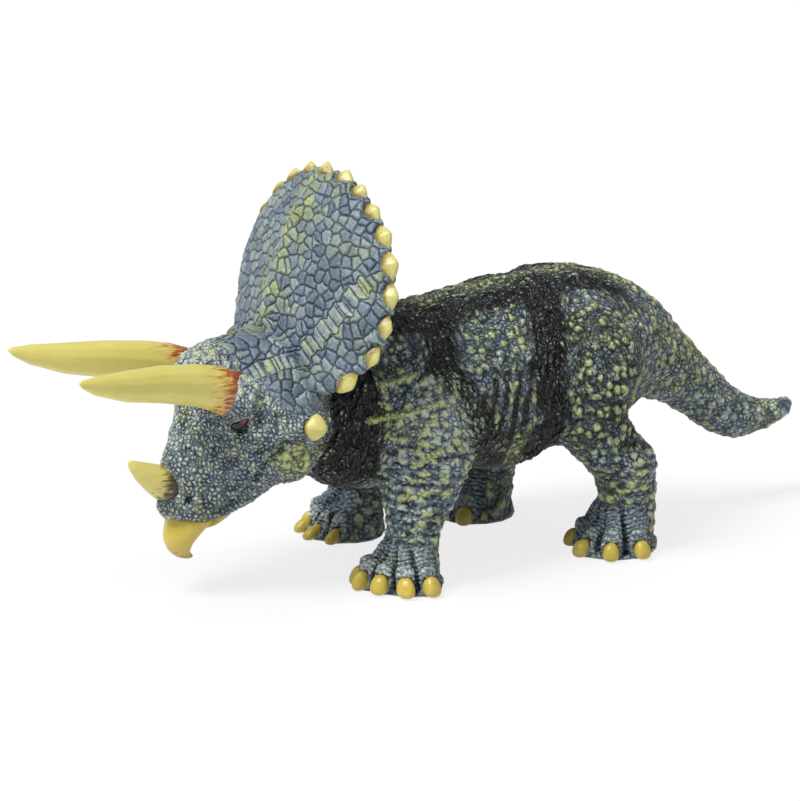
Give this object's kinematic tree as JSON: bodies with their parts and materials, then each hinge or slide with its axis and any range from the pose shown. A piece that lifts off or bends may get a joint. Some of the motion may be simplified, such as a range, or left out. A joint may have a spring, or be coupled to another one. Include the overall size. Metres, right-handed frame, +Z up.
{
  "type": "toy dinosaur figure",
  "caption": "Walking horned dinosaur figure, moulded in pieces and hand painted, standing on flat-soled feet, with a studded upright frill, brow horns and a drooping tail.",
  "frame": {"origin": "middle of the figure's box on the surface that it stands on", "axes": "+Z up, the head toward -X, the figure's left side toward -Y"},
  "size_m": [0.2182, 0.0742, 0.1038],
  "materials": {
    "skin": "hand-painted PVC, satin",
    "horn": "hand-painted PVC, glossy yellow",
    "beak": "hand-painted PVC, glossy ochre",
    "nail": "hand-painted PVC, glossy yellow",
    "eye": "gloss varnish over dark paint"
  },
  "bodies": {
    "root": {"torso_left": "skin", "torso_right": "skin", "tail": "skin", "head": "skin", "foreleg_left": "skin", "foreleg_right": "skin", "hindleg_left": "skin", "hindleg_right": "skin", "nose_horn": "horn", "beak_upper": "beak", "beak_lower": "beak", "foreleg_left_nail_1": "nail", "foreleg_left_nail_2": "nail", "foreleg_left_nail_3": "nail", "foreleg_left_nail_4": "nail", "foreleg_left_nail_5": "nail", "foreleg_right_nail_1": "nail", "foreleg_right_nail_2": "nail", "foreleg_right_nail_3": "nail", "foreleg_right_nail_4": "nail", "foreleg_right_nail_5": "nail", "hindleg_left_nail_1": "nail", "hindleg_left_nail_2": "nail", "hindleg_left_nail_3": "nail", "hindleg_left_nail_4": "nail", "hindleg_right_nail_1": "nail", "hindleg_right_nail_2": "nail", "hindleg_right_nail_3": "nail", "hindleg_right_nail_4": "nail", "brow_horn_left": "horn", "cheek_horn_left": "nail", "eye_left": "eye", "frill_stud_left_1": "nail", "frill_stud_left_2": "nail", "frill_stud_left_3": "nail", "frill_stud_left_4": "nail", "frill_stud_left_5": "nail", "frill_stud_left_6": "nail", "frill_stud_left_7": "nail", "frill_stud_left_8": "nail", "frill_stud_left_9": "nail", "brow_horn_right": "horn", "cheek_horn_right": "nail", "eye_right": "eye", "frill_stud_right_1": "nail", "frill_stud_right_2": "nail", "frill_stud_right_3": "nail", "frill_stud_right_4": "nail", "frill_stud_right_5": "nail", "frill_stud_right_6": "nail", "frill_stud_right_7": "nail", "frill_stud_right_8": "nail", "frill_stud_right_9": "nail"}
  },
  "joints": []
}
